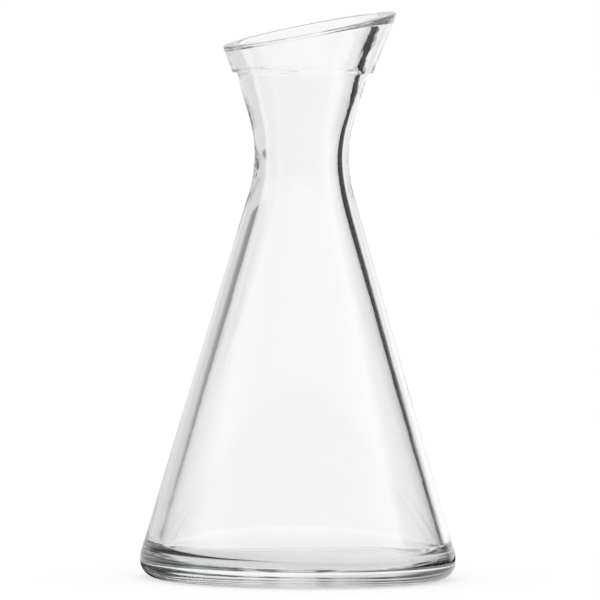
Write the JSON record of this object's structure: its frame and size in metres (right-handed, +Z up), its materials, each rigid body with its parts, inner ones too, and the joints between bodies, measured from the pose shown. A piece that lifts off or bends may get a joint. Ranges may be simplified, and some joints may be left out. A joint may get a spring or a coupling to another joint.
{
  "type": "water carafe",
  "caption": "Thick clear glass carafe with a cone body, waisted neck and stepped collar whose rim slants up to one side for pouring.",
  "frame": {"origin": "middle of the foot, on the table", "axes": "+Z up along the carafe's axis, +X towards the tall side of the slanted rim, which is the side that pours, +Y away from the viewer of the picture"},
  "size_m": [0.114, 0.114, 0.2049],
  "materials": {
    "clear_glass": "clear soda-lime glass, moulded and fire-polished"
  },
  "bodies": {
    "root": {"carafe_glass": "clear_glass"}
  },
  "joints": []
}
